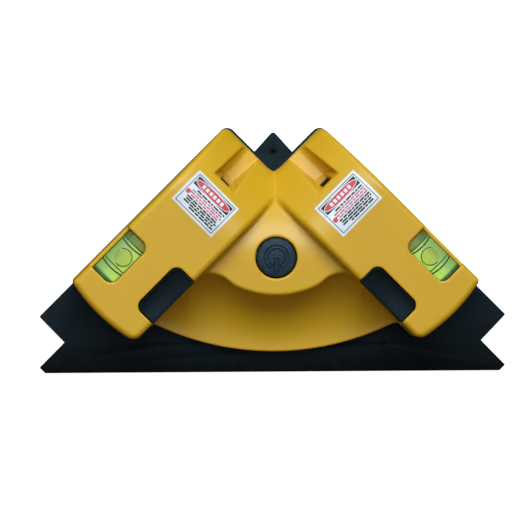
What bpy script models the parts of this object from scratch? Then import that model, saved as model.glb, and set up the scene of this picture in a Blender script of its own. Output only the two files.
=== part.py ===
"""Right-angle laser square on a detachable base plate.

Units are millimetres in the constants and metres in the model.  The square
lies on its back: +Z leaves the plate, +Y points to the apex where the two
laser beams start, and -Y to the straight ruler edge.  Each arm has its own
directions: t runs along the arm towards the apex and n across it, outwards.
"""
from math import cos, pi, radians, sin, sqrt

import bmesh
import bpy
from mathutils import Matrix, Vector

# ---------------------------------------------------------------- dimensions
MM = 0.001
ROOT2 = sqrt(2.0)
GAP = 0.3

PLATE_TOP = 4.0            # base plate thickness
PLATE_EDGE_Y = -52.7       # ruler edge
PLATE_HALF_WIDTH = 100.2   # to the fishtail tips
PLATE_OUTER_N = 50.8       # outer 45 degree edges
PLATE_APEX_Y = 50.3
RULER_CREASE_Y = -39.6
RULER_EDGE_Z = 2.2

BACK_BOTTOM = 4.3          # back cover
BACK_TOP = 6.3
COVER_BOTTOM = 6.6         # yellow top cover
ARM_TOP = 36.0
ARM_INNER_N = 15.3
ARM_OUTER_N = 52.0
ARM_FRONT_T = 23.3
ARM_MID_N = 34.0
ARM_END_T = -72.6          # middle of the rounded far end
ARM_END_RADIUS = 75.0
ARM_DRAFT = 0.055
INNER_DRAFT = -0.018
WALL = 2.2
NOSE_START_T = -15.0
NOSE_DROP = 27.6

RIM_Z = 8.2                # front rim of the finger scoop
RIM_CENTRE_Y = 72.6
RIM_RADIUS = 116.2
WEB_TOP = 28.0
WEB_EDGE_Z = 26.0
WEB_VALLEY_Y = 21.9

BUTTON_Y = -3.5
BUTTON_RADIUS = 8.6
BUTTON_HOLE = 9.1
BUTTON_TRAVEL = 1.2

LASER_N = 35.2
LASER_Z = 22.8
LASER_RADIUS = 5.0

VIAL_T = (-58.9, -37.3)
VIAL_N = (38.3, 48.7)
VIAL_TOP = 34.6
VIAL_AXIS_N = 43.5
VIAL_AXIS_Z = 29.6
VIAL_BORE = 4.0

BATTERY_N = 33.2
BATTERY_Z = 12.6
BATTERY_RADIUS = 5.25
BATTERY_T = (-65.5, -22.0)

LATCH_T = (-57.8, -34.2)
LATCH_N = (14.7, 24.75)
LATCH_BOTTOM = 29.4
LATCH_TOP = 35.7
LATCH_TRAVEL = 2.0

DOOR_N = (27.3, 41.3)
DOOR_T = -26.0
BOARD_Z = (9.6, 11.2)

# ---------------------------------------------------------------- clean start
for old in list(bpy.data.objects):
    bpy.data.objects.remove(old, do_unlink=True)

PARTS = bpy.data.collections.new("laser_square")
CUTTERS = bpy.data.collections.new("cutters")
bpy.context.scene.collection.children.link(PARTS)
bpy.context.scene.collection.children.link(CUTTERS)


def material(name, rgb, roughness, metallic=0.0, alpha=1.0):
    mat = bpy.data.materials.new(name)
    mat.use_nodes = True
    shader = mat.node_tree.nodes["Principled BSDF"]
    shader.inputs["Base Color"].default_value = (*rgb, 1.0)
    shader.inputs["Roughness"].default_value = roughness
    shader.inputs["Metallic"].default_value = metallic
    shader.inputs["Alpha"].default_value = alpha
    return mat


YELLOW = material("yellow_abs", (0.58, 0.39, 0.055), 0.42)
BLACK = material("black_abs", (0.008, 0.011, 0.015), 0.55)
SLATE = material("slate_button", (0.05, 0.085, 0.13), 0.5)
CLEAR = material("clear_acrylic", (0.85, 0.9, 0.8), 0.05, alpha=0.35)
LIQUID = material("green_liquid", (0.25, 0.42, 0.06), 0.05, alpha=0.6)
BRASS = material("brass_barrel", (0.55, 0.38, 0.13), 0.3, metallic=1.0)
STEEL = material("steel", (0.55, 0.56, 0.57), 0.3, metallic=1.0)
BOARD = material("board_green", (0.02, 0.16, 0.06), 0.5)
CELL = material("battery_wrap", (0.03, 0.03, 0.035), 0.35)
PAPER = material("label_film", (0.75, 0.8, 0.85), 0.35)
COPPER = material("wire_sleeve", (0.45, 0.03, 0.02), 0.5)


# ---------------------------------------------------------------- helpers
def adopt(obj, name, mat):
    """Name an object, give it one material and put it in the parts."""
    obj.name = name
    obj.data.name = name
    obj.data.materials.clear()
    if mat is not None:
        obj.data.materials.append(mat)
    for coll in list(obj.users_collection):
        coll.objects.unlink(obj)
    (PARTS if mat is not None else CUTTERS).objects.link(obj)
    if mat is None:
        obj.hide_render = True
        obj.display_type = "WIRE"
    return obj


def realise(obj):
    """Turn a curve, or a mesh with modifiers, into a plain mesh object."""
    bpy.context.view_layer.update()
    graph = bpy.context.evaluated_depsgraph_get()
    mesh = bpy.data.meshes.new_from_object(obj.evaluated_get(graph), depsgraph=graph)
    work = bmesh.new()
    work.from_mesh(mesh)
    bmesh.ops.remove_doubles(work, verts=work.verts, dist=1e-7)
    work.to_mesh(mesh)
    work.free()
    fresh = bpy.data.objects.new(obj.name, mesh)
    fresh.matrix_world = obj.matrix_world.copy()
    for coll in obj.users_collection:
        coll.objects.link(fresh)
    name = obj.name
    bpy.data.objects.remove(obj, do_unlink=True)
    fresh.name = name
    return fresh


def boolean(target, tool, operation="DIFFERENCE"):
    """Cut, join or intersect a mesh with another one, then drop the tool."""
    mod = target.modifiers.new("boolean", "BOOLEAN")
    mod.operation = operation
    mod.solver = "EXACT"
    mod.object = tool
    if operation == "UNION" and tool.data.materials:
        tool.data.materials.clear()
    result = realise(target)
    bpy.data.objects.remove(tool, do_unlink=True)
    return result


def cut(target, *tools):
    for tool in tools:
        target = boolean(target, tool)
    return target


def join(target, *tools):
    for tool in tools:
        target = boolean(target, tool, "UNION")
    return target


def smooth(obj, angle=35.0):
    for poly in obj.data.polygons:
        poly.use_smooth = True
    obj.data.set_sharp_from_angle(angle=radians(angle))
    return obj


def plan(t, n):
    """Left-arm coordinates to X and Y, in millimetres."""
    return (t - n) / ROOT2, (t + n) / ROOT2


def box(name, mat, x, y, z, turn=0.0, centre=None, bevel=0.0):
    """A box from its three (low, high) spans; centre maps local to world."""
    mid = [(a + b) / 2 for a, b in (x, y, z)]
    size = [b - a for a, b in (x, y, z)]
    at = centre(mid[0], mid[1]) if centre else (mid[0], mid[1])
    bpy.ops.mesh.primitive_cube_add(size=1.0, location=(at[0] * MM, at[1] * MM, mid[2] * MM))
    obj = bpy.context.object
    obj.data.transform(Matrix.Diagonal((size[0] * MM, size[1] * MM, size[2] * MM, 1.0)))
    obj.rotation_euler = (0.0, 0.0, turn)
    adopt(obj, name, mat)
    if bevel:
        mod = obj.modifiers.new("edges", "BEVEL")
        mod.width = bevel * MM
        mod.segments = 2
        obj = realise(obj)
    return obj


def arm_box(name, mat, t, n, z, bevel=0.0):
    return box(name, mat, t, n, z, turn=pi / 4, centre=plan, bevel=bevel)


def post(name, mat, xy, z, radius, sides=24):
    """An upright cylinder."""
    bpy.ops.mesh.primitive_cylinder_add(
        vertices=sides, radius=radius * MM, depth=(z[1] - z[0]) * MM,
        location=(xy[0] * MM, xy[1] * MM, (z[0] + z[1]) / 2 * MM))
    return adopt(bpy.context.object, name, mat)


def arm_rod(name, mat, t, n, z, radius, sides=24):
    """A cylinder along the arm."""
    at = plan((t[0] + t[1]) / 2, n)
    bpy.ops.mesh.primitive_cylinder_add(
        vertices=sides, radius=radius * MM, depth=(t[1] - t[0]) * MM,
        location=(at[0] * MM, at[1] * MM, z * MM), rotation=(0.0, pi / 2, pi / 4))
    return adopt(bpy.context.object, name, mat)


def cross_rod(name, mat, t, n, z, radius, sides=16):
    """A cylinder across the arm."""
    at = plan(t, (n[0] + n[1]) / 2)
    bpy.ops.mesh.primitive_cylinder_add(
        vertices=sides, radius=radius * MM, depth=(n[1] - n[0]) * MM,
        location=(at[0] * MM, at[1] * MM, z * MM), rotation=(0.0, pi / 2, 3 * pi / 4))
    return adopt(bpy.context.object, name, mat)


def slab(name, mat, points, z, rounds=()):
    """A flat outline as a filled 2D curve, extruded between two heights."""
    curve = bpy.data.curves.new(name, "CURVE")
    curve.dimensions = "2D"
    curve.fill_mode = "BOTH"
    curve.extrude = (z[1] - z[0]) / 2 * MM
    spline = curve.splines.new("POLY")
    spline.points.add(len(points) - 1)
    for item, (x, y) in zip(spline.points, points):
        item.co = (x * MM, y * MM, 0.0, 1.0)
    spline.use_cyclic_u = True
    obj = bpy.data.objects.new(name, curve)
    obj.location = (0.0, 0.0, (z[0] + z[1]) / 2 * MM)
    PARTS.objects.link(obj)
    obj = realise(obj)
    return adopt(obj, name, mat)


def wire(name, mat, points, radius, sides=2):
    """A round wire through points given in millimetres."""
    curve = bpy.data.curves.new(name, "CURVE")
    curve.dimensions = "3D"
    curve.bevel_depth = radius * MM
    curve.bevel_resolution = sides
    curve.use_fill_caps = True
    spline = curve.splines.new("POLY")
    spline.points.add(len(points) - 1)
    for item, (x, y, z) in zip(spline.points, points):
        item.co = (x * MM, y * MM, z * MM, 1.0)
    obj = bpy.data.objects.new(name, curve)
    PARTS.objects.link(obj)
    obj = realise(obj)
    return adopt(obj, name, mat)


def loft(name, mat, loops):
    """Skin a row of closed loops (millimetres) and cap both ends."""
    work = bmesh.new()
    rings = [[work.verts.new((x * MM, y * MM, z * MM)) for x, y, z in loop] for loop in loops]
    count = len(loops[0])
    for low, high in zip(rings, rings[1:]):
        for i in range(count):
            j = (i + 1) % count
            work.faces.new((low[i], low[j], high[j], high[i]))
    ends = [work.faces.new(rings[0]), work.faces.new(rings[-1])]
    bmesh.ops.poke(work, faces=[f for f in ends if count > 4])
    bmesh.ops.recalc_face_normals(work, faces=work.faces)
    mesh = bpy.data.meshes.new(name)
    work.to_mesh(mesh)
    work.free()
    obj = bpy.data.objects.new(name, mesh)
    PARTS.objects.link(obj)
    return adopt(obj, name, mat)


def twin(obj, name):
    """The mirror image of an object, as a separate object on the right."""
    mesh = obj.data.copy()
    mesh.transform(Matrix.Diagonal((-1.0, 1.0, 1.0, 1.0)))
    mesh.flip_normals()
    copy = bpy.data.objects.new(name, mesh)
    location, rotation, _ = obj.matrix_world.decompose()
    turn = rotation.to_matrix()
    flip = Matrix.Diagonal((-1.0, 1.0, 1.0))
    copy.matrix_world = Matrix.Translation((-location.x, location.y, location.z)) @ (
        flip @ turn @ flip).to_4x4()
    mesh.name = name
    PARTS.objects.link(copy)
    return copy


def set_origin(obj, x, y, z):
    """Move an object's origin without moving its shape."""
    bpy.context.view_layer.update()
    target = Matrix.Translation((x * MM, y * MM, z * MM))
    obj.data.transform(target.inverted() @ obj.matrix_world)
    obj.matrix_world = target
    return obj


def pair(obj, stem, origin=None):
    """Finish a left piece and add its right-hand twin."""
    obj.name = "left_" + stem
    obj.data.name = obj.name
    if origin:
        set_origin(obj, *origin)
    bpy.context.view_layer.update()
    right = twin(obj, "right_" + stem)
    smooth(obj)
    smooth(right)
    return obj, right


# ---------------------------------------------------------------- form rules
def end_t(n, inset=0.0):
    """The rounded far end of an arm."""
    return ARM_END_T + (n - ARM_MID_N) ** 2 / (2 * ARM_END_RADIUS) + inset


def arm_height(t):
    """Top of the arm: level, then falling in a curve to the front face."""
    if t <= NOSE_START_T:
        return ARM_TOP
    s = (t - NOSE_START_T) / (ARM_FRONT_T - NOSE_START_T)
    return ARM_TOP - NOSE_DROP * s * s


def rim_y(x):
    return RIM_CENTRE_Y - sqrt(RIM_RADIUS ** 2 - x * x)


def web_edge_y(x):
    """Upper edge of the scoop: a shallow arc that turns up beside each arm."""
    a = abs(x)
    if a < 20.0:
        return 19.5 - sqrt(39.0 ** 2 - a * a)
    if a < 28.5:
        s = (a - 20.0) / 8.5
        return -13.98 + 3.8 * (s * (2.0 - s))
    return -10.2


def web_height(y):
    s = max(0.0, y + 5.0) / (WEB_VALLEY_Y + 5.0)
    return WEB_TOP - 10.6 * s * s


def scoop_height(x, y):
    s = (y - rim_y(x)) / (web_edge_y(x) - rim_y(x))
    s = min(1.0, max(0.0, s))
    return RIM_Z + (WEB_EDGE_Z - RIM_Z) * (1.0 - sqrt(max(0.0, 1.0 - s * s)))


def arm_loops(inset, bottom, roof, front, fillet):
    """Sections of one arm, from the far end to the front."""
    loops = []
    stations = [(0.0, 3.0, 2.4), (0.9, 0.9, 0.7), (3.0, 0.0, 0.0)]
    rows = [("end", d, a, b) for d, a, b in stations]
    levels = [-60.0, -36.0, -15.0, -9.0, -3.0, 3.0, 8.0, 12.0, 16.0, 20.0, 22.6, 23.3]
    rows += [("run", t, 0.0, 0.0) for t in levels if t < front - 0.05]
    rows.append(("run", front, 0.0, 0.0))
    for kind, value, narrow, drop in rows:
        t_ref = value if kind == "run" else ARM_END_T + 3.0
        top = arm_height(t_ref) - roof - drop
        f = min(fillet, max(0.3, (top - bottom) * 0.6))
        lean = ARM_DRAFT * (top - bottom)
        low_in = ARM_INNER_N + inset + narrow
        low_out = ARM_OUTER_N - inset - narrow
        if kind == "run" and inset == 0.0:
            low_out -= 3.4 * max(0.0, (value - 20.0) / 3.7) ** 3
        high_in = low_in + INNER_DRAFT * (top - bottom)
        high_out = low_out - lean
        spread = [0.25, 0.5, 0.75]
        ring = [(low_out, bottom)]
        ring += [(low_out + (low_in - low_out) * s, bottom) for s in spread]
        ring += [(low_in, bottom), (high_in, top - f), (high_in + 0.3 * f, top - 0.3 * f)]
        a, b = high_in + f, high_out - f
        ring += [(a, top)] + [(a + (b - a) * s, top) for s in spread] + [(b, top)]
        ring += [(high_out - 0.3 * f, top - 0.3 * f), (high_out, top - f)]
        loop = []
        for n, z in ring:
            t = value if kind == "run" else end_t(n, inset + value)
            x, y = plan(t, n)
            loop.append((x, y, z))
        loops.append(loop)
    return loops


def web_loops(raise_y, sink, bottom, half, tuck):
    """Columns of the web and scoop, from left to right."""
    loops = []
    count = 24
    for i in range(count + 1):
        x = -half + 2 * half * i / count
        low = rim_y(x) + raise_y
        high = WEB_VALLEY_Y - abs(x) + tuck
        edge = min(web_edge_y(x) + raise_y, high - 1.0)
        full = web_edge_y(x) + raise_y
        top = []
        for s in (0.0, 0.3, 0.55, 0.75, 0.9, 0.98, 1.0):
            y = low + (edge - low) * s
            u = min(1.0, (y - low) / (full - low))
            z = RIM_Z + (WEB_EDGE_Z - RIM_Z) * (1.0 - sqrt(max(0.0, 1.0 - u * u)))
            top.append((y, z - sink))
        inside = full > high - 1.0
        crest = [(0.12, 0.55), (0.35, 0.9), (0.6, 1.0)]
        for s, k in crest:
            y = edge + min(2.4, (high - edge) * 0.5) * s
            z = WEB_EDGE_Z + (web_height(y) - WEB_EDGE_Z) * k
            top.append((y, top[-1][1] + 0.1 if inside else z - sink))
        first, level = top[-1]
        for s in (0.2, 0.4, 0.6, 0.8, 1.0):
            y = first + (high - first) * s
            top.append((y, level + 0.2 * s if inside else web_height(y) - sink))
        ring = [(x, low, bottom)] + [(x, y, max(z, bottom + 0.4)) for y, z in top]
        ring.append((x, high, bottom))
        loops.append(ring)
    return loops


def head_outline(front):
    """Plan outline of the laser head, counter-clockwise from the valley."""
    left = [plan(front, front)]
    for k in range(7):
        a = radians(15.0 * k)
        left.append(plan(front - 3.8 + 3.8 * cos(a), ARM_OUTER_N - 3.8 + 3.8 * sin(a)))
    corner = []
    for k in range(7):
        a = radians(15.0 * k)
        n = ARM_OUTER_N - 3.0 + 3.0 * cos(a)
        corner.append(plan(end_t(n) + 3.0 - 3.0 * sin(a), n))
    left += corner
    for k in range(1, 8):
        n = ARM_OUTER_N - 3.0 - (ARM_OUTER_N - ARM_INNER_N - 6.0) * k / 8
        left.append(plan(end_t(n), n))
    for k in range(7):
        a = radians(15.0 * k)
        n = ARM_INNER_N + 3.0 - 3.0 * sin(a)
        left.append(plan(end_t(n) + 3.0 - 3.0 * cos(a), n))
    for k in range(13):
        x = -52.6 + 52.6 * k / 12
        left.append((x, rim_y(x)))
    right = [(-x, y) for x, y in reversed(left[1:-1])]
    return left + right


SIDES = (1, -1)


def on_side(obj, side):
    """Move a left-arm tool to the right arm when side is -1."""
    if side == 1:
        return obj
    bpy.context.view_layer.update()
    copy = twin(obj, obj.name + "_r")
    bpy.data.objects.remove(obj, do_unlink=True)
    return copy


def arm_xy(side, t, n):
    x, y = plan(t, n)
    return side * x, y


BOARD_SCREWS = ((-15.0, -7.4), (15.0, -7.4), (0.0, 8.6))
COVER_SCREWS = ((-66.8, 22.0), (-28.5, 21.4), (14.5, 46.6))
CLAMP_SCREWS = ((-11.5, 27.2), (-11.5, 43.2))
LOCATORS = ((-60.0, 46.5), (4.0, 46.0))
FRONT = ARM_FRONT_T + 0.6

# ---------------------------------------------------------------- base plate
def plate_outline():
    half, edge = PLATE_HALF_WIDTH, PLATE_EDGE_Y
    apex = PLATE_APEX_Y
    front_t = ARM_FRONT_T + 0.6
    left = [(0.0, apex), (-0.8, apex - 0.3), (-1.4, apex - 0.9)]
    side_n = apex / ROOT2 - 0.15
    left.append(plan(front_t, side_n))
    for k in range(6):
        a = radians(18.0 * k)
        left.append(plan(front_t - 3.8 + 3.8 * cos(a), PLATE_OUTER_N - 3.8 + 3.8 * sin(a)))
    left.append((-half + 0.3, -28.0))
    left.append((-half, -28.5))
    left.append((-89.6, -39.5))
    left.append((-half, -50.1))
    left.append((-half + 0.2, -50.6))
    left.append((-half + 2.3, edge))
    right = [(-x, y) for x, y in reversed(left[1:])]
    return left + right


base_plate = slab("base_plate", BLACK, plate_outline(), (0.0, PLATE_TOP))
slope = RULER_CREASE_Y - PLATE_EDGE_Y
fall = PLATE_TOP - RULER_EDGE_Z
run = []
for x in (-110.0, 110.0):
    run.append([(x, RULER_CREASE_Y, PLATE_TOP), (x, RULER_CREASE_Y - slope * 1.2, PLATE_TOP - fall * 1.2),
                (x, RULER_CREASE_Y - slope * 1.2, PLATE_TOP + 2.0), (x, RULER_CREASE_Y, PLATE_TOP + 2.0)])
base_plate = cut(base_plate, loft("ruler_bevel", None, run))
base_plate = cut(base_plate, post("apex_hole", None, (0.0, 41.7), (1.5, 6.0), 1.3, 20))
for side in SIDES:
    base_plate = cut(base_plate, post("pin_hole", None, (side * 47.4, -40.6), (1.5, 6.0), 0.9, 16))
    for t, n in LOCATORS:
        base_plate = join(base_plate, post("locator", BLACK, arm_xy(side, t, n), (3.0, 5.7), 2.2, 14))
    hook = arm_box("keeper", BLACK, (-49.0, -44.0), (25.2, 26.2), (3.0, 12.0))
    base_plate = join(base_plate, on_side(hook, side))
smooth(base_plate)

# ---------------------------------------------------------------- back cover
back_cover = slab("back_cover", BLACK, head_outline(FRONT), (BACK_BOTTOM, BACK_TOP))
panel = slab("door_panel", BLACK, head_outline(FRONT), (BACK_BOTTOM, BACK_TOP))
panel = boolean(panel, arm_box("door_span", None, (-90.0, DOOR_T - GAP), (DOOR_N[0] + GAP, DOOR_N[1] - GAP),
                               (BACK_BOTTOM - 1.0, BACK_TOP + 1.0)), "INTERSECT")
for k in range(4):
    at = -66.0 + 2.6 * k
    panel = cut(panel, arm_box("grip", None, (at, at + 1.2), (28.2, 38.2), (BACK_BOTTOM - 1.0, BACK_BOTTOM + 0.6)))
door_x, door_y = plan(-50.0, 33.2)

for side in SIDES:
    way = arm_box("door_way", None, (-90.0, DOOR_T), DOOR_N, (BACK_BOTTOM - 1.0, BACK_TOP + 1.0))
    slot = arm_box("keeper_slot", None, (-49.4, -43.6), (24.8, 26.6), (2.0, 8.0))
    back_cover = cut(back_cover, on_side(way, side), on_side(slot, side))
    for t, n in LOCATORS:
        back_cover = cut(back_cover, post("locator_hole", None, arm_xy(side, t, n), (2.0, 8.0), 2.5, 14))
    for t, n in COVER_SCREWS:
        xy = arm_xy(side, t, n)
        back_cover = cut(back_cover, post("screw_way", None, xy, (2.0, 8.0), 1.4, 10))
        back_cover = cut(back_cover, post("screw_sink", None, xy, (2.0, 5.5), 2.6, 12))
for x, y in BOARD_SCREWS:
    back_cover = join(back_cover, post("stand", BLACK, (x, y), (BACK_TOP - 1.0, BOARD_Z[0] - GAP), 2.6, 12))
    back_cover = cut(back_cover, post("stand_hole", None, (x, y), (BACK_TOP - 0.4, 12.0), 1.3, 10))
smooth(back_cover)

# ---------------------------------------------------------------- top cover
left_arm = loft("arm", YELLOW, arm_loops(0.0, COVER_BOTTOM - 0.8, 0.0, ARM_FRONT_T, 2.3))
right_arm = twin(loft("arm", None, arm_loops(0.0, COVER_BOTTOM - 1.3, 0.0, ARM_FRONT_T, 2.3)), "arm_r")
web = loft("web", YELLOW, web_loops(0.0, 0.0, COVER_BOTTOM - 1.9, 52.8, 4.1))
top_cover = join(left_arm, right_arm, web)
top_cover = cut(top_cover, box("trim", None, (-150.0, 150.0), (-150.0, 150.0), (0.0, COVER_BOTTOM)))

hollow = loft("hollow", None, arm_loops(WALL, COVER_BOTTOM - 2.0, WALL, 1.6, 1.4))
hollow_right = twin(hollow, "hollow_r")
room = []
for i in range(13):
    x = -30.0 + 5.0 * i
    low = max(web_edge_y(x) + 3.0, -16.6) if abs(x) > 4.0 else -16.6
    high = WEB_VALLEY_Y - abs(x) + (5.5 if abs(x) > 12.0 else -3.2)
    ring = [(x, low, COVER_BOTTOM - 2.0)]
    for s in (0.0, 0.25, 0.5, 0.75, 1.0):
        y = low + (high - low) * s
        ring.append((x, y, min(web_height(y) - WALL - 0.4, WEB_EDGE_Z - WALL - 0.6)))
    ring.append((x, high, COVER_BOTTOM - 2.0))
    room.append(ring)
top_cover = cut(top_cover, hollow, hollow_right, loft("room", None, room))

top_cover = cut(top_cover, post("button_hole", None, (0.0, BUTTON_Y), (20.0, 40.0), BUTTON_HOLE, 36))
for side in SIDES:
    recess = []
    for t, low_n, high_n, floor in ((4.3, 30.4, 40.2, 28.4), (7.4, 32.9, 38.2, 13.2), (24.6, 30.4, 40.0, 8.0)):
        recess.append([(*plan(t, low_n), floor), (*plan(t, high_n), floor),
                       (*plan(t - 0.4, high_n + 0.2 * (41.0 - floor)), 41.0),
                       (*plan(t - 0.4, low_n - 0.2 * (41.0 - floor)), 41.0)])
    exit_hole = arm_box("beam_exit", None, (0.6, 8.0), (LASER_N - 2.7, LASER_N + 2.7), (LASER_Z - 2.2, LASER_Z + 2.2))
    recess = loft("recess", None, recess)
    window = arm_box("window", None, (-59.2, -37.0), (38.0, 60.0), (30.8, 44.0))
    pocket = arm_box("pocket", None, (-59.15, -37.05), (38.05, 49.0), (24.2, 34.0))
    notch = arm_box("notch", None, (-58.3, -33.7), (5.0, 25.25), (LATCH_BOTTOM - 0.4, 44.0))
    top_cover = cut(top_cover, on_side(recess, side), on_side(exit_hole, side))
    top_cover = cut(top_cover, on_side(window, side), on_side(pocket, side), on_side(notch, side))
    for t, n in COVER_SCREWS:
        xy = arm_xy(side, t, n)
        roof = arm_height(t + 3.0) - 1.2
        top_cover = join(top_cover, post("boss", YELLOW, xy, (COVER_BOTTOM + 0.05, roof), 2.8, 12))
        top_cover = cut(top_cover, post("boss_hole", None, xy, (2.0, min(18.0, roof - 1.4)), 1.4, 10))
    for t, n in CLAMP_SCREWS:
        xy = arm_xy(side, t, n)
        top_cover = join(top_cover, post("stud", YELLOW, xy, (29.3, 35.0), 2.6, 12))
        top_cover = cut(top_cover, post("stud_hole", None, xy, (25.0, 33.6), 1.3, 10))
top_cover = adopt(top_cover, "top_cover", YELLOW)
smooth(top_cover)

# ---------------------------------------------------------------- button
def turned(name, mat, profile, steps, centre):
    """Revolve a profile (radius, height) round an upright axis."""
    work = bmesh.new()
    verts = [work.verts.new((r * MM, 0.0, z * MM)) for r, z in profile]
    for a, b in zip(verts, verts[1:]):
        work.edges.new((a, b))
    mesh = bpy.data.meshes.new(name)
    work.to_mesh(mesh)
    work.free()
    obj = bpy.data.objects.new(name, mesh)
    obj.location = (centre[0] * MM, centre[1] * MM, centre[2] * MM)
    PARTS.objects.link(obj)
    mod = obj.modifiers.new("turn", "SCREW")
    mod.steps = steps
    mod.render_steps = steps
    mod.use_merge_vertices = True
    mod.merge_threshold = 0.00001
    obj = realise(obj)
    return adopt(obj, name, mat)


crown = [(0.0, 28.9), (5.0, 28.75), (7.6, 28.3), (8.35, 27.8), (BUTTON_RADIUS, 27.1), (BUTTON_RADIUS, 24.2)]
skirt = [(2.4, 24.2), (2.4, 17.8), (0.0, 17.8)]
power_button = turned("power_button", SLATE, crown + skirt, 32, (0.0, BUTTON_Y, 0.0))
ring_cut = turned("ring_cut", None, [(5.3, 30.0), (5.3, 28.3), (3.7, 28.3), (3.7, 30.0), (5.3, 30.0)], 32,
                  (0.0, BUTTON_Y, 0.0))
gap_keep = box("gap_keep", None, (-1.9, 1.9), (-9.0, 0.0), (20.0, 32.0))
gap_keep.location.y += BUTTON_Y * MM
ring_cut = boolean(ring_cut, gap_keep)
bar_cut = box("bar_cut", None, (-0.9, 0.9), (BUTTON_Y - 7.0, BUTTON_Y - 0.6), (28.2, 32.0))
power_button = cut(power_button, ring_cut, bar_cut)
set_origin(power_button, 0.0, BUTTON_Y, 24.2)
smooth(power_button)

# ---------------------------------------------------------------- electronics
board_points = [(-18.0, -10.2), (18.0, -10.2), (18.0, -2.0), (7.0, 11.2), (-7.0, 11.2), (-18.0, -2.0)]
circuit_board = slab("circuit_board", BOARD, board_points, BOARD_Z)
for x, y in BOARD_SCREWS:
    circuit_board = cut(circuit_board, post("board_hole", None, (x, y), (8.0, 13.0), 1.3, 10))

tact_switch = box("tact_switch", STEEL, (-3.0, 3.0), (BUTTON_Y - 3.0, BUTTON_Y + 3.0), (11.5, 14.8), bevel=0.3)
tact_switch = cut(tact_switch, post("switch_bore", None, (0.0, BUTTON_Y), (12.9, 16.0), 2.1, 24))
plunger = post("switch_plunger", BLACK, (0.0, BUTTON_Y), (14.4, 17.5), 1.75, 24)
set_origin(plunger, 0.0, BUTTON_Y, 14.4)
smooth(plunger)

driver_chip = box("driver_chip", BLACK, (6.6, 11.6), (-3.6, 0.4), (11.5, 13.0), bevel=0.25)
wire_header = box("wire_header", PAPER, (-7.0, 7.0), (3.4, 6.2), (11.5, 14.5), bevel=0.3)
capacitor = post("capacitor", STEEL, (-9.5, -2.2), (11.5, 16.5), 2.4, 24)
smooth(capacitor)



def screw(name, xy, shank, head):
    """A small pan-head screw."""
    obj = post(name, STEEL, xy, shank, 1.0, 8)
    obj = adopt(join(obj, post("head", STEEL, xy, head, 2.1, 12)), name, STEEL)
    set_origin(obj, xy[0], xy[1], shank[0])
    return smooth(obj)


for k, (x, y) in enumerate(BOARD_SCREWS):
    screw("board_screw_%d" % (k + 1), (x, y), (BACK_TOP + 0.3, 12.0), (11.5, 12.9))

for side, word in ((1, "left"), (-1, "right")):
    for k, (t, n) in enumerate(COVER_SCREWS):
        top = min(17.0, arm_height(t + 3.0) - 3.6)
        screw("%s_cover_screw_%d" % (word, k + 1), arm_xy(side, t, n), (4.7, top), (4.4, 5.2))
    for k, (t, n) in enumerate(CLAMP_SCREWS):
        screw("%s_clamp_screw_%d" % (word, k + 1), arm_xy(side, t, n), (15.2, 33.0), (14.2, 15.7))

# ---------------------------------------------------------------- vials
vial_body = arm_box("vial_body", CLEAR, VIAL_T, VIAL_N, (24.6, VIAL_TOP), bevel=0.5)
bore_t = (VIAL_T[0] - 5.0, VIAL_T[1] - 1.6)
vial_body = cut(vial_body, arm_rod("bore", None, bore_t, VIAL_AXIS_N, VIAL_AXIS_Z, VIAL_BORE, 20))
vial_liquid = arm_rod("vial_liquid", LIQUID, (VIAL_T[0] + 2.2, VIAL_T[1] - 1.9), VIAL_AXIS_N,
                      VIAL_AXIS_Z, VIAL_BORE - GAP, 20)
bx, by = plan(-48.1, VIAL_AXIS_N)
bpy.ops.mesh.primitive_uv_sphere_add(segments=12, ring_count=8, radius=1.0,
                                     location=(bx * MM, by * MM, (VIAL_AXIS_Z + 3.2) * MM))
bubble = bpy.context.object
bubble.data.transform(Matrix.Diagonal((4.2 * MM, 2.5 * MM, 1.9 * MM, 1.0)))
bubble.rotation_euler = (0.0, 0.0, pi / 4)
adopt(bubble, "bubble", None)
vial_liquid = cut(vial_liquid, bubble)
vial_plug = arm_rod("vial_plug", BLACK, (VIAL_T[0] + 0.2, VIAL_T[0] + 1.9), VIAL_AXIS_N, VIAL_AXIS_Z,
                    VIAL_BORE - GAP, 16)
pair(vial_body, "vial_body")
pair(vial_liquid, "vial_liquid")
pair(vial_plug, "vial_plug")

# ---------------------------------------------------------------- lasers
barrel = arm_rod("laser_barrel", BRASS, (-20.0, -0.6), LASER_N, LASER_Z, LASER_RADIUS, 20)
barrel = cut(barrel, arm_rod("barrel_bore", None, (-22.0, 3.0), LASER_N, LASER_Z, 3.7, 20))
diode = arm_rod("laser_diode", STEEL, (-19.0, -15.6), LASER_N, LASER_Z, 2.8, 16)
diode = join(diode, arm_rod("flange", STEEL, (-19.4, -18.2), LASER_N, LASER_Z, 3.4, 16))
collimator = arm_rod("collimator_lens", CLEAR, (-9.6, -7.8), LASER_N, LASER_Z, 3.3, 16)
line_lens = cross_rod("line_lens", CLEAR, -3.2, (LASER_N - 2.9, LASER_N + 2.9), LASER_Z, 1.5, 12)
clamp = arm_box("laser_clamp", BLACK, (-14.5, -8.5), (24.9, 45.5), (16.0, 29.0), bevel=0.4)
clamp = cut(clamp, arm_rod("clamp_bore", None, (-20.0, -2.0), LASER_N, LASER_Z, LASER_RADIUS + GAP, 24))
for t, n in CLAMP_SCREWS:
    clamp = cut(clamp, post("clamp_way", None, plan(t, n), (10.0, 32.0), 1.3, 10))
pair(barrel, "laser_barrel")
pair(diode, "laser_diode")
pair(collimator, "collimator_lens")
pair(line_lens, "line_lens")
pair(clamp, "laser_clamp")

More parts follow.
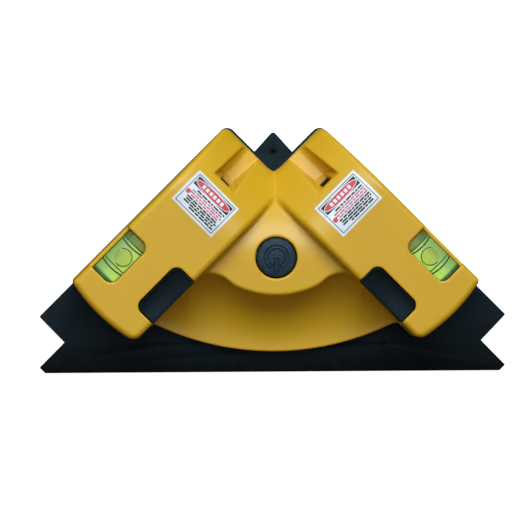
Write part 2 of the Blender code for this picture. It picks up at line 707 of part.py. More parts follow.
# ---------------------------------------------------------------- batteries
battery = arm_rod("battery", CELL, (BATTERY_T[0], BATTERY_T[1] - 1.0), BATTERY_N, BATTERY_Z, BATTERY_RADIUS, 24)
battery = join(battery, arm_rod("nub", CELL, (BATTERY_T[1] - 1.5, BATTERY_T[1]), BATTERY_N, BATTERY_Z, 1.9, 12))
contact = arm_box("battery_contact", STEEL, (-21.7, -21.2), (BATTERY_N - 3.4, BATTERY_N + 3.4), (8.4, 17.4))
spring_plate = arm_box("spring_plate", STEEL, (-69.1, -68.6), (BATTERY_N - 3.4, BATTERY_N + 3.4), (8.4, 16.2))
coil = []
turns, per_turn = 3, 8
for k in range(turns * per_turn + 1):
    a = 2 * pi * k / per_turn
    r = 3.1 - 0.3 * k / per_turn
    t = -68.0 + 1.9 * k / (turns * per_turn)
    x, y = plan(t, BATTERY_N + r * cos(a))
    coil.append((x, y, BATTERY_Z + r * sin(a)))
battery_spring = wire("battery_spring", STEEL, coil, 0.28, 0)
pair(battery, "battery")
pair(contact, "battery_contact")
pair(spring_plate, "spring_plate")
pair(battery_spring, "battery_spring")
pair(panel, "battery_door", (door_x, door_y, BACK_BOTTOM))

# ---------------------------------------------------------------- latches
latch = arm_box("latch", BLACK, LATCH_T, LATCH_N, (LATCH_BOTTOM, LATCH_TOP), bevel=0.9)
mid_t, mid_n = sum(LATCH_T) / 2, sum(LATCH_N) / 2
dish_x, dish_y = plan(mid_t, mid_n)
bpy.ops.mesh.primitive_uv_sphere_add(segments=24, ring_count=12, radius=1.0,
                                     location=(dish_x * MM, dish_y * MM, (LATCH_TOP + 3.0) * MM))
dish = bpy.context.object
dish.data.transform(Matrix.Diagonal((15.0 * MM, 5.8 * MM, 4.4 * MM, 1.0)))
dish.rotation_euler = (0.0, 0.0, pi / 4)
adopt(dish, "dish", None)
latch = cut(latch, dish)
latch = join(latch, arm_box("leg", BLACK, (-50.0, -43.0), (22.4, 24.4), (8.4, LATCH_BOTTOM + 1.0)))
lx, ly = plan(mid_t, mid_n)
pair(latch, "latch", (lx, ly, LATCH_BOTTOM))
coil = []
turns, per_turn = 3, 8
for k in range(turns * per_turn + 1):
    a = 2 * pi * k / per_turn
    x, y = plan(-46.5 + 1.7 * cos(a), 19.2 + 2.5 * k / (turns * per_turn))
    coil.append((x, y, 20.0 + 1.7 * sin(a)))
pair(wire("latch_spring", STEEL, coil, 0.25, 0), "latch_spring")

# ---------------------------------------------------------------- labels
low_n, high_n = 22.9, 45.9
rows = (-15.9, -12.0, -9.0, -6.0, -3.0, 0.8)
label = [[(*plan(t, low_n), arm_height(t) + GAP), (*plan(t, high_n), arm_height(t) + GAP),
          (*plan(t, high_n), arm_height(t) + GAP + 0.25), (*plan(t, low_n), arm_height(t) + GAP + 0.25)]
         for t in rows]
pair(loft("label", PAPER, label), "label")

# ---------------------------------------------------------------- wiring
def lead(name, points):
    """A sleeved wire on a smooth curve through the given points."""
    dense = []
    for i in range(len(points) - 1):
        p0 = Vector(points[max(i - 1, 0)])
        p1, p2 = Vector(points[i]), Vector(points[i + 1])
        p3 = Vector(points[min(i + 2, len(points) - 1)])
        for k in range(3):
            u = k / 3
            a, b = (p2 - p0) / 2, (p3 - p1) / 2
            point = p1 * (2 * u ** 3 - 3 * u * u + 1) + a * (u ** 3 - 2 * u * u + u)
            point += p2 * (3 * u * u - 2 * u ** 3) + b * (u ** 3 - u * u)
            dense.append(tuple(point))
    dense.append(tuple(points[-1]))
    return wire(name, COPPER, dense, 0.55, 1)


spring_lead = lead("spring_lead", [(*plan(-68.4, 40.2), 12.0), (*plan(-60.0, 40.2), 9.0),
                                   (*plan(-40.0, 40.2), 8.4), (*plan(-22.0, 40.4), 8.4),
                                   (*plan(-17.0, 34.0), 8.8), (*plan(-15.0, 26.0), 10.0),
                                   (*plan(-14.5, 20.0), 13.0), (-16.0, 4.6, 15.6), (-6.0, 4.8, 15.6)])
diode_lead = lead("diode_lead", [(*plan(-20.4, LASER_N), LASER_Z), (*plan(-23.6, 33.0), 21.8),
                                 (*plan(-22.0, 26.0), 20.6), (*plan(-18.0, 20.6), 18.6),
                                 (-17.0, 6.4, 18.4), (-3.0, 4.8, 17.1)])
pair(spring_lead, "spring_lead")
pair(diode_lead, "diode_lead")

for spare in list(CUTTERS.objects):
    bpy.data.objects.remove(spare, do_unlink=True)
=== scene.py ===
"""Looks for the right-angle laser square: fine moulded skins, vials, labels, studio light."""

import math
from math import cos, pi, radians, sin, sqrt

import bmesh
import bpy
import numpy as np
from mathutils import Matrix, Vector


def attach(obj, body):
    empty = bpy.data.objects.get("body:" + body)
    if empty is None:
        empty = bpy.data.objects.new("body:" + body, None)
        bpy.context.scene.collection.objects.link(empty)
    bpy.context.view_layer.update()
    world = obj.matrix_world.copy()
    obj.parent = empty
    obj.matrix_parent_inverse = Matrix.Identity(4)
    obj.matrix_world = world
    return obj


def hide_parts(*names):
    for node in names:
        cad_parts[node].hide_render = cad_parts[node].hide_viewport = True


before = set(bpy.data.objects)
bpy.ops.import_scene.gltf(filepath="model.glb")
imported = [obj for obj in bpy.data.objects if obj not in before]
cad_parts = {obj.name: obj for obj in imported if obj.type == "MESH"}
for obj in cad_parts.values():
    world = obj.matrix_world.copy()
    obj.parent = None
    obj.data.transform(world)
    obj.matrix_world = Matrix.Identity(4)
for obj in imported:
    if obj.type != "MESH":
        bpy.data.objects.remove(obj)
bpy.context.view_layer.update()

MM = 0.001
ROOT2 = sqrt(2.0)
RIGHT_SIDE = Matrix.Diagonal((-1.0, 1.0, 1.0, 1.0))


# ------------------------------------------------------------------ distance-field tools
def cap_round(a, b, r):
    """Intersection of two solids with a rounded outer edge."""
    u = np.maximum(r + a, 0.0)
    v = np.maximum(r + b, 0.0)
    return np.minimum(-r, np.maximum(a, b)) + np.sqrt(u * u + v * v)


def join_round(a, b, r):
    """Union of two solids with a fillet in the corner between them."""
    return -cap_round(-a, -b, r)


def cut_round(a, b, r):
    """Solid a without solid b, with a rounded rim."""
    return cap_round(a, -b, r)


def rect(x, y, half_x, half_y, r):
    """Distance to a rounded rectangle."""
    qx = np.abs(x) - (half_x - r)
    qy = np.abs(y) - (half_y - r)
    return np.hypot(np.maximum(qx, 0.0), np.maximum(qy, 0.0)) + np.minimum(np.maximum(qx, qy), 0.0) - r


def surface(fn, low, high, step):
    """Surface-net mesh of fn(x, y, z) = 0 on a regular grid, pulled onto the true surface."""
    axes = [np.arange(a, b + step, step) for a, b in zip(low, high)]
    size = [len(a) for a in axes]
    field = np.empty(size, np.float32)
    gy, gz = np.meshgrid(axes[1], axes[2], indexing="ij")
    for i in range(0, size[0], 16):
        gx = axes[0][i:i + 16][:, None, None]
        field[i:i + 16] = fn(gx + 0 * gy[None], gy[None] + 0 * gx, gz[None] + 0 * gx)
    inside = field < 0
    cells = tuple(n - 1 for n in size)
    total = np.zeros(cells + (3,), np.float32)
    count = np.zeros(cells, np.float32)
    base = np.indices(size).astype(np.float32)
    edges = []
    for axis in range(3):
        lo = [slice(None)] * 3
        hi = [slice(None)] * 3
        lo[axis], hi[axis] = slice(0, -1), slice(1, None)
        lo, hi = tuple(lo), tuple(hi)
        cross = inside[lo] != inside[hi]
        where = np.nonzero(cross)
        a = field[lo][where]
        b = field[hi][where]
        frac = a / (a - b)
        point = np.stack([base[k][lo][where] for k in range(3)], 1)
        point[:, axis] += frac
        flip = inside[lo][where]
        edges.append((axis, where, flip))
        others = [k for k in range(3) if k != axis]
        for da in (0, 1):
            for db in (0, 1):
                index = [w.copy() for w in where]
                index[others[0]] -= da
                index[others[1]] -= db
                good = np.ones(len(frac), bool)
                for k in range(3):
                    good &= (index[k] >= 0) & (index[k] < cells[k])
                pick = tuple(w[good] for w in index)
                np.add.at(total, pick, point[good])
                np.add.at(count, pick, 1.0)
    used = np.nonzero(count)
    ident = np.full(cells, -1, np.int64)
    ident[used] = np.arange(len(used[0]))
    verts = total[used] / count[used][:, None]
    verts = np.asarray(low, float)[None] + verts * step
    quads = []
    for axis, where, flip in edges:
        b, c = [(1, 2), (2, 0), (0, 1)][axis]
        ring = []
        for db, dc in ((0, 0), (1, 0), (1, 1), (0, 1)):
            index = [w.copy() for w in where]
            index[b] -= db
            index[c] -= dc
            bad = (index[b] < 0) | (index[c] < 0) | (index[b] >= cells[b]) | (index[c] >= cells[c])
            index = [np.clip(w, 0, cells[k] - 1) for k, w in enumerate(index)]
            found = ident[tuple(index)]
            found[bad] = -1
            ring.append(found)
        ring = np.stack(ring, 1)
        ring[~flip] = ring[~flip][:, ::-1]
        quads.append(ring[(ring >= 0).all(1)])
    quads = np.concatenate(quads)
    for _ in range(3):
        value = fn(verts[:, 0], verts[:, 1], verts[:, 2])
        e = 0.02
        grad = np.stack([
            fn(verts[:, 0] + e * (k == 0), verts[:, 1] + e * (k == 1), verts[:, 2] + e * (k == 2))
            - fn(verts[:, 0] - e * (k == 0), verts[:, 1] - e * (k == 1), verts[:, 2] - e * (k == 2))
            for k in range(3)], 1) / (2 * e)
        norm = np.maximum((grad * grad).sum(1), 0.2)
        move = -(value / norm)[:, None] * grad
        length = np.linalg.norm(move, axis=1, keepdims=True)
        verts += move * np.minimum(1.0, 0.35 * step / np.maximum(length, 1e-9))
    return verts, quads


def mesh_object(name, verts, faces, matrix=None):
    """A mesh object from arrays in millimetres."""
    mesh = bpy.data.meshes.new(name)
    mesh.vertices.add(len(verts))
    mesh.vertices.foreach_set("co", (np.asarray(verts) * MM).astype(np.float32).ravel())
    faces = np.asarray(faces)
    mesh.loops.add(faces.size)
    mesh.loops.foreach_set("vertex_index", faces.astype(np.int32).ravel())
    mesh.polygons.add(len(faces))
    mesh.polygons.foreach_set("loop_start", (np.arange(len(faces)) * faces.shape[1]).astype(np.int32))
    mesh.update(calc_edges=True)
    if matrix is not None:
        mesh.transform(matrix)
    obj = bpy.data.objects.new(name, mesh)
    bpy.context.scene.collection.objects.link(obj)
    return obj


ARM_FRAME = Matrix(((1 / ROOT2, -1 / ROOT2, 0, 0), (1 / ROOT2, 1 / ROOT2, 0, 0), (0, 0, 1, 0), (0, 0, 0, 1)))


# ------------------------------------------------------------------ the yellow top cover
def end_line(n):
    return -72.6 + (n - 34.0) ** 2 / 150.0


def arm_top(t):
    s = np.maximum(0.0, t + 15.0) / 38.3
    return 36.0 - 27.6 * s * s


def web_edge(x):
    a = np.abs(x)
    arc = 19.5 - np.sqrt(np.maximum(39.0 ** 2 - np.minimum(a, 21.0) ** 2, 1.0))
    s = np.clip((a - 19.0) / 9.5, 0.0, 1.0)
    blend = -13.8 + 3.6 * s * (2.0 - s)
    blend = blend - 0.094 * np.clip(a - 28.4, 0.0, 8.0) ** 2
    k = np.clip((a - 17.5) / 4.0, 0.0, 1.0)
    return arc * (1 - k) + blend * k


def rim_line(x):
    return 72.6 - np.sqrt(116.2 ** 2 - np.minimum(np.abs(x), 60.0) ** 2)


def cover_outside(t, n, z):
    """The outer form of the left half, before any opening is cut."""
    lean = 0.055 * (z - 6.6)
    side = np.maximum(15.3 - 0.018 * (z - 6.6) - n, n - (52.0 - lean))
    end = end_line(n) + lean - t
    plan = cap_round(side, end, np.where(n > 34.0, 1.6, 3.4))
    plan = cap_round(plan, t - 23.3, 3.8)
    slope = 2 * 27.6 / 38.3 ** 2 * np.maximum(0.0, t + 15.0)
    lid = (z - arm_top(t)) / np.sqrt(1 + slope * slope)
    arm = cap_round(plan, lid, 2.4)
    x, y = (t - n) / ROOT2, (t + n) / ROOT2
    s = np.maximum(0.0, y + 5.0) / 26.9
    roof = (z - (28.0 - 10.6 * s * s)) / np.sqrt(1 + (0.788 * s) ** 2)
    low, high = rim_line(x), web_edge(x)
    across = high - low
    p = np.maximum(y - low, 0.0) / across
    q = np.maximum(26.0 - z, 0.0) / 17.8
    f = np.sqrt(p * p + q * q) + 1e-6
    scoop = (1.0 - f) / np.sqrt((p / across) ** 2 + (q / 17.8) ** 2 + 1e-8) * f
    web = cap_round(scoop, roof, 1.6)
    web = np.maximum(np.maximum(web, low - y), np.maximum(n - 26.0, -64.0 - t))
    return join_round(arm, web, 2.0)


def beam_recess(t, n, z):
    """Channel in front of the beam window: curved outer wall, flat floor, leaning back wall."""
    run = np.clip((t - 8.0) / 15.3, 0.0, 1.0)
    floor_z = 13.4 - 6.2 * run
    low = 32.7 - 0.9 * run - 0.22 * (1.0 - 0.3 * run) * (z - floor_z)
    high = 40.1 + 0.04 * (z - floor_z)
    back = 8.0 - (z - 13.4) * 0.25
    channel = cap_round(n - high, (floor_z - z) * 0.93, 3.0)
    channel = np.maximum(np.maximum(channel, (low - n) * 0.97), (back - t) * 0.97)
    nook = np.maximum(rect(t - 7.0, n - 34.85, 2.2, 2.7, 0.2), np.abs(z - 21.0) - 6.5)
    gap = np.maximum(rect(t - 4.6, n - 34.85, 0.4, 2.7, 0.1), np.abs(z - 18.5) - 9.0)
    return np.minimum(np.minimum(channel, nook), gap)


def cover_half(t, n, z):
    outside = cover_outside(t, n, z)
    outside = cut_round(outside, beam_recess(t, n, z), 0.4)
    shell = np.maximum(outside, -(outside + 2.2))
    bosses = np.full(np.shape(t), 99.0)
    holes = np.full(np.shape(t), 99.0)
    for bt, bn, foot, top in ((-66.8, 22.0, 0.0, 17.5), (-28.5, 21.4, 0.0, 17.5), (14.5, 46.6, 0.0, 13.0),
                              (-11.5, 27.2, 29.3, 33.4), (-11.5, 43.2, 29.3, 33.4)):
        reach = np.hypot(t - bt, n - bn)
        bosses = np.minimum(bosses, np.maximum(reach - 2.7, foot - z))
        holes = np.minimum(holes, np.maximum(reach - 1.4, z - top))
    bosses = np.maximum(bosses, outside + 0.8)
    body = np.minimum(shell, bosses)
    body = np.maximum(body, -holes)
    window = np.maximum(rect(t + 48.1, n - 50.0, 11.1, 12.0, 3.6), 30.8 - z)
    pocket = np.maximum(np.maximum(rect(t + 48.1, n - 50.0, 11.1, 12.0, 3.0), n - 49.0), 24.2 - z)
    pocket = np.maximum(pocket, z - 32.5)
    body = cut_round(body, window, 0.7)
    body = np.maximum(body, -pocket)
    notch = np.maximum(rect(t + 46.0, n - 10.25, 12.3, 15.0, 3.7), 29.0 - z)
    body = cut_round(body, notch, 0.5)
    slot = np.maximum(rect(n - 35.2, z - 22.8, 2.7, 2.2, 0.4), np.abs(t - 4.0) - 3.4)
    body = np.maximum(body, -slot)
    x, y = (t - n) / ROOT2, (t + n) / ROOT2
    hole = np.maximum(np.hypot(x, y + 3.5) - 8.7, 22.0 - z)
    body = cut_round(body, hole, 0.9)
    return cap_round(body, 6.6 - z, 0.45)


def mirrored_whole(obj):
    """Cut a left half at X = 0 and weld its mirror image to it."""
    work = bmesh.new()
    work.from_mesh(obj.data)
    geom = work.verts[:] + work.edges[:] + work.faces[:]
    bmesh.ops.bisect_plane(work, geom=geom, plane_co=(0, 0, 0), plane_no=(1, 0, 0),
                           clear_outer=True, dist=1e-6)
    for v in work.verts:
        if abs(v.co.x) < 2e-6:
            v.co.x = 0.0
    other = bmesh.ops.duplicate(work, geom=work.verts[:] + work.edges[:] + work.faces[:])["geom"]
    faces = [g for g in other if isinstance(g, bmesh.types.BMFace)]
    for v in (g for g in other if isinstance(g, bmesh.types.BMVert)):
        v.co.x = -v.co.x
    bmesh.ops.reverse_faces(work, faces=faces)
    bmesh.ops.remove_doubles(work, verts=[v for v in work.verts if v.co.x == 0.0], dist=1e-7)
    work.to_mesh(obj.data)
    work.free()
    return obj


verts, quads = surface(cover_half, (-75.5, -33.0, 5.9), (25.0, 54.0, 37.0), 0.5)
cover = mirrored_whole(mesh_object("cover_skin", verts, quads, ARM_FRAME))


# ------------------------------------------------------------------ materials
def new_material(name, color, rough, metallic=0.0, specular=0.5):
    mat = bpy.data.materials.new(name)
    mat.use_nodes = True
    tree = mat.node_tree
    shader = tree.nodes["Principled BSDF"]
    shader.inputs["Base Color"].default_value = (*color, 1.0)
    shader.inputs["Roughness"].default_value = rough
    shader.inputs["Metallic"].default_value = metallic
    shader.inputs["Specular IOR Level"].default_value = specular
    coords = tree.nodes.new("ShaderNodeTexCoord")
    return mat, tree, shader, coords


def noise(tree, coords, scale, detail=2.0, rough=0.5):
    node = tree.nodes.new("ShaderNodeTexNoise")
    node.inputs["Scale"].default_value = scale
    node.inputs["Detail"].default_value = detail
    node.inputs["Roughness"].default_value = rough
    tree.links.new(coords.outputs["Object"], node.inputs["Vector"])
    return node.outputs["Fac"]


def ramp(tree, value, stops):
    node = tree.nodes.new("ShaderNodeValToRGB")
    elements = node.color_ramp.elements
    while len(elements) < len(stops):
        elements.new(0.5)
    for item, (at, color) in zip(elements, stops):
        item.position = at
        item.color = (*color, 1.0)
    tree.links.new(value, node.inputs["Fac"])
    return node.outputs["Color"]


def spread(tree, value, low, high):
    node = tree.nodes.new("ShaderNodeMapRange")
    node.inputs["From Min"].default_value = 0.3
    node.inputs["From Max"].default_value = 0.7
    node.inputs["To Min"].default_value = low
    node.inputs["To Max"].default_value = high
    tree.links.new(value, node.inputs["Value"])
    return node.outputs["Result"]


def bump(tree, shader, value, strength, distance):
    node = tree.nodes.new("ShaderNodeBump")
    node.inputs["Strength"].default_value = strength
    node.inputs["Distance"].default_value = distance
    tree.links.new(value, node.inputs["Height"])
    tree.links.new(node.outputs["Normal"], shader.inputs["Normal"])
    return node


def plastic(name, dark, light, rough, grain, depth, specular=0.5, patch=35.0,
            tint=(1.0, 1.0, 1.0), strength=0.35):
    """Moulded plastic: slow colour drift, uneven gloss and a fine sparked grain."""
    mat, tree, shader, coords = new_material(name, light, rough[0], specular=specular)
    slow = noise(tree, coords, patch, 3.0, 0.55)
    tree.links.new(ramp(tree, slow, [(0.3, dark), (0.7, light)]), shader.inputs["Base Color"])
    gloss = noise(tree, coords, patch * 6.0, 3.0, 0.6)
    tree.links.new(spread(tree, gloss, rough[0], rough[1]), shader.inputs["Roughness"])
    fine = noise(tree, coords, grain, 2.0, 0.6)
    bump(tree, shader, fine, strength, depth)
    shader.inputs["Specular Tint"].default_value = (*tint, 1.0)
    return mat


YELLOW = plastic("yellow_abs_skin", (0.66, 0.395, 0.012), (0.70, 0.425, 0.015), (0.30, 0.36), 1500.0, 0.00004)
BLACK = plastic("black_abs_skin", (0.0028, 0.0050, 0.0064), (0.0042, 0.0072, 0.0092), (0.42, 0.52),
                2200.0, 0.00012, 0.22, tint=(0.45, 0.75, 1.0), strength=0.6)
PAD = plastic("pad_rubber_skin", (0.0035, 0.0062, 0.0085), (0.0060, 0.0095, 0.0125), (0.48, 0.60),
              1900.0, 0.00014, 0.16, tint=(0.5, 0.8, 1.0), strength=0.6)
SLATE = plastic("button_skin", (0.008, 0.019, 0.034), (0.020, 0.042, 0.068), (0.36, 0.55),
                1500.0, 0.00040, 0.42, 450.0, tint=(0.5, 0.8, 1.0), strength=0.8)
DARK = plastic("inner_black", (0.004, 0.005, 0.006), (0.007, 0.008, 0.010), (0.55, 0.7), 900.0, 0.00008)
PRINT_BLACK = plastic("print_black", (0.006, 0.006, 0.010), (0.012, 0.012, 0.018), (0.45, 0.55),
                      1500.0, 0.00002)
PRINT_RED = plastic("print_red", (0.62, 0.030, 0.060), (0.74, 0.050, 0.085), (0.40, 0.50), 1500.0, 0.00002)
PRINT_PINK = plastic("print_pink", (0.50, 0.15, 0.24), (0.62, 0.24, 0.34), (0.40, 0.50), 1500.0, 0.00002)
FILM = plastic("label_film_skin", (0.62, 0.72, 0.82), (0.84, 0.91, 0.96), (0.25, 0.36),
               900.0, 0.00002, 0.5, 90.0)
TICK = plastic("engraved_grey", (0.0048, 0.0075, 0.0095), (0.0070, 0.0100, 0.0120), (0.5, 0.6),
               1500.0, 0.00002, 0.2)
STEEL = plastic("steel_skin", (0.42, 0.43, 0.44), (0.56, 0.57, 0.58), (0.25, 0.4), 700.0, 0.00002)
BRASS = plastic("brass_skin", (0.48, 0.32, 0.11), (0.60, 0.42, 0.15), (0.25, 0.4), 700.0, 0.00002)
BOARD = plastic("board_skin", (0.015, 0.13, 0.05), (0.025, 0.18, 0.07), (0.4, 0.55), 700.0, 0.00002)
WRAP = plastic("battery_skin", (0.020, 0.020, 0.024), (0.035, 0.035, 0.040), (0.3, 0.4), 400.0, 0.00002)
SLEEVE = plastic("wire_skin", (0.38, 0.02, 0.015), (0.48, 0.035, 0.025), (0.4, 0.55), 700.0, 0.00002)
for mat in (STEEL, BRASS):
    mat.node_tree.nodes["Principled BSDF"].inputs["Metallic"].default_value = 1.0


def arm_coordinates(tree, coords):
    """Shader outputs t and n, the directions along and across either arm, in metres."""
    split = tree.nodes.new("ShaderNodeSeparateXYZ")
    tree.links.new(coords.outputs["Object"], split.inputs["Vector"])
    side = tree.nodes.new("ShaderNodeMath")
    side.operation = "ABSOLUTE"
    tree.links.new(split.outputs["X"], side.inputs[0])
    out = []
    for operation in ("SUBTRACT", "ADD"):
        add = tree.nodes.new("ShaderNodeMath")
        add.operation = operation
        tree.links.new(split.outputs["Y"], add.inputs[0])
        tree.links.new(side.outputs[0], add.inputs[1])
        scale = tree.nodes.new("ShaderNodeMath")
        scale.operation = "DIVIDE"
        scale.inputs[1].default_value = ROOT2
        tree.links.new(add.outputs[0], scale.inputs[0])
        out.append(scale.outputs[0])
    return out


def over_range(tree, value, low, high):
    node = tree.nodes.new("ShaderNodeMapRange")
    node.inputs["From Min"].default_value = low
    node.inputs["From Max"].default_value = high
    tree.links.new(value, node.inputs["Value"])
    return node.outputs["Result"]


def glowing_liquid_material(name, tone):
    """Tinted liquid with painted light: brighter towards the inner side, darker past the ends, and a painted
    glow by emission standing in for light passing through it.
    """
    mat, tree, shader, coords = new_material(name, (0.3, 0.5, 0.1), 0.12, specular=0.4)
    t, n = arm_coordinates(tree, coords)
    # painted light: the liquid is made brighter towards the inner side, where light passes through it
    across = over_range(tree, n, 0.0383, 0.0487)
    body = ramp(tree, across, [(0.0, (0.50, 0.76, 0.15)), (0.3, (0.38, 0.58, 0.12)),
                               (0.65, (0.22, 0.38, 0.09)), (1.0, (0.15, 0.28, 0.07))])
    along = over_range(tree, t, -0.059, -0.0372)
    middle = [tuple(a * b for a, b in zip(c, tone)) for c in ((0.95, 1.0, 0.85), (1.0, 1.0, 1.0))]
    shade = ramp(tree, along, [(0.0, (0.02, 0.14, 0.10)), (0.05, (0.02, 0.20, 0.14)), (0.09, middle[0]),
                               (0.82, middle[1]), (0.86, (0.40, 0.34, 0.26)), (1.0, (0.50, 0.38, 0.30))])
    mix = tree.nodes.new("ShaderNodeMix")
    mix.data_type = "RGBA"
    mix.blend_type = "MULTIPLY"
    mix.inputs["Factor"].default_value = 1.0
    tree.links.new(body, mix.inputs["A"])
    tree.links.new(shade, mix.inputs["B"])
    tree.links.new(mix.outputs["Result"], shader.inputs["Base Color"])
    # painted glow: emission stands in for light passing through the liquid
    tree.links.new(mix.outputs["Result"], shader.inputs["Emission Color"])
    shader.inputs["Emission Strength"].default_value = 0.45
    return mat


LIQUID_GLOW = glowing_liquid_material("vial_liquid_glow_skin", (1.0, 1.0, 1.0))
# the bubble gets the same painted light and glow, toned down
BUBBLE_GLOW = glowing_liquid_material("bubble_glow_skin", (0.95, 0.82, 0.72))
# painted shade for one side of the bubble's rim, and a painted highlight (glint) for the other side
BUBBLE_SHADE_EDGE = plastic("bubble_shade_edge", (0.030, 0.060, 0.015), (0.05, 0.09, 0.02), (0.2, 0.3), 300.0, 0.00001)
GLINT = plastic("bubble_glint", (0.50, 0.42, 0.26), (0.62, 0.55, 0.36), (0.2, 0.3), 300.0, 0.00001)
# dark green for the painted shadows beside the printed vial rings
RING_SHADOW_GREEN = plastic("ring_shadow_green", (0.015, 0.14, 0.04), (0.03, 0.20, 0.06), (0.2, 0.3), 300.0, 0.00001)
CLEAR, tree, shader, coords = new_material("vial_clear_skin", (0.80, 0.92, 0.70), 0.06, specular=0.6)
tree.links.new(spread(tree, noise(tree, coords, 200.0), 0.04, 0.09), shader.inputs["Roughness"])
shader.inputs["Alpha"].default_value = 0.05


# ------------------------------------------------------------------ finishing helpers
def finish(obj, body, replaces, mat, angle=None):
    obj.data.materials.clear()
    obj.data.materials.append(mat)
    for poly in obj.data.polygons:
        poly.use_smooth = True
    if angle:
        obj.data.set_sharp_from_angle(angle=radians(angle))
    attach(obj, body)
    if replaces:
        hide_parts(*replaces)
    return obj


def twin(obj, name):
    mesh = obj.data.copy()
    mesh.transform(RIGHT_SIDE)
    mesh.flip_normals()
    copy = bpy.data.objects.new(name, mesh)
    bpy.context.scene.collection.objects.link(copy)
    return copy


def soft_copy(node, name, width, angle=35.0, segments=3):
    """A copy of a CAD node with its flat faces cleaned and its edges rounded."""
    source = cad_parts[node]
    mesh = source.data.copy()
    mesh.transform(source.matrix_world)
    obj = bpy.data.objects.new(name, mesh)
    bpy.context.scene.collection.objects.link(obj)
    work = bmesh.new()
    work.from_mesh(mesh)
    bmesh.ops.remove_doubles(work, verts=work.verts, dist=2e-6)
    bmesh.ops.dissolve_limit(work, angle_limit=radians(1.0), verts=work.verts, edges=work.edges)
    work.to_mesh(mesh)
    work.free()
    mod = obj.modifiers.new("edges", "BEVEL")
    mod.width = width * MM
    mod.segments = segments
    mod.limit_method = "ANGLE"
    mod.angle_limit = radians(angle)
    mod.harden_normals = False
    graph = bpy.context.evaluated_depsgraph_get()
    done = bpy.data.meshes.new_from_object(obj.evaluated_get(graph), depsgraph=graph)
    obj.modifiers.clear()
    obj.data = done
    return obj


def grid_sheet(name, u_range, v_range, steps, place, thick):
    """A thin closed sheet: place(u, v) gives the top point, thick is its depth below that."""
    nu, nv = steps
    us = np.linspace(*u_range, nu + 1)
    vs = np.linspace(*v_range, nv + 1)
    top = [[place(u, v) for v in vs] for u in us]
    verts = [p for row in top for p in row] + [(x, y, z - thick) for row in top for x, y, z in row]
    width = nv + 1
    count = (nu + 1) * width
    faces = []
    for i in range(nu):
        for j in range(nv):
            a, b, c, d = i * width + j, (i + 1) * width + j, (i + 1) * width + j + 1, i * width + j + 1
            faces += [(a, b, c, d), (a + count, d + count, c + count, b + count)]
    ring = [i * width for i in range(nu + 1)] + [nu * width + j for j in range(1, nv + 1)]
    ring += [i * width + nv for i in range(nu - 1, -1, -1)] + [j for j in range(nv - 1, 0, -1)]
    for a, b in zip(ring, ring[1:] + ring[:1]):
        faces.append((a, a + count, b + count, b))
    obj = mesh_object(name, verts, faces)
    work = bmesh.new()
    work.from_mesh(obj.data)
    bmesh.ops.recalc_face_normals(work, faces=work.faces)
    work.to_mesh(obj.data)
    work.free()
    return obj


def tube(name, points, radius, cyclic=False, sides=3):
    """A thin round line through points in millimetres, as a mesh."""
    curve = bpy.data.curves.new(name, "CURVE")
    curve.dimensions = "3D"
    curve.bevel_depth = radius * MM
    curve.bevel_resolution = sides
    curve.use_fill_caps = True
    spline = curve.splines.new("POLY")
    spline.points.add(len(points) - 1)
    for item, (x, y, z) in zip(spline.points, points):
        item.co = (x * MM, y * MM, z * MM, 1.0)
    spline.use_cyclic_u = cyclic
    temp = bpy.data.objects.new(name + "_curve", curve)
    bpy.context.scene.collection.objects.link(temp)
    graph = bpy.context.evaluated_depsgraph_get()
    mesh = bpy.data.meshes.new_from_object(temp.evaluated_get(graph), depsgraph=graph)
    bpy.data.objects.remove(temp, do_unlink=True)
    obj = bpy.data.objects.new(name, mesh)
    bpy.context.scene.collection.objects.link(obj)
    return obj


def merge(name, objects):
    """Several meshes as one object."""
    work = bmesh.new()
    for obj in objects:
        work.from_mesh(obj.data)
        bpy.data.objects.remove(obj, do_unlink=True)
    mesh = bpy.data.meshes.new(name)
    work.to_mesh(mesh)
    work.free()
    out = bpy.data.objects.new(name, mesh)
    bpy.context.scene.collection.objects.link(out)
    return out


def arm_xyz(side, t, n, z):
    return side * (t - n) / ROOT2, (t + n) / ROOT2, z


SIDES = ((1, "left"), (-1, "right"))
finish(cover, "laser_head", ["top_cover"], YELLOW)

# ------------------------------------------------------------------ plate and back cover
plate = soft_copy("base_plate", "plate_skin", 0.35)
finish(plate, "base", ["base_plate"], BLACK, 40)
back = soft_copy("back_cover", "back_skin", 0.25, segments=2)
finish(back, "laser_head", ["back_cover"], BLACK, 40)


def math_tilt(y):
    return math.atan(1.8 / 13.1) if y < -39.6 else 0.0


def plate_height(y):
    return 4.0 if y > -39.6 else 4.0 - (-39.6 - y) * (1.8 / 13.1)


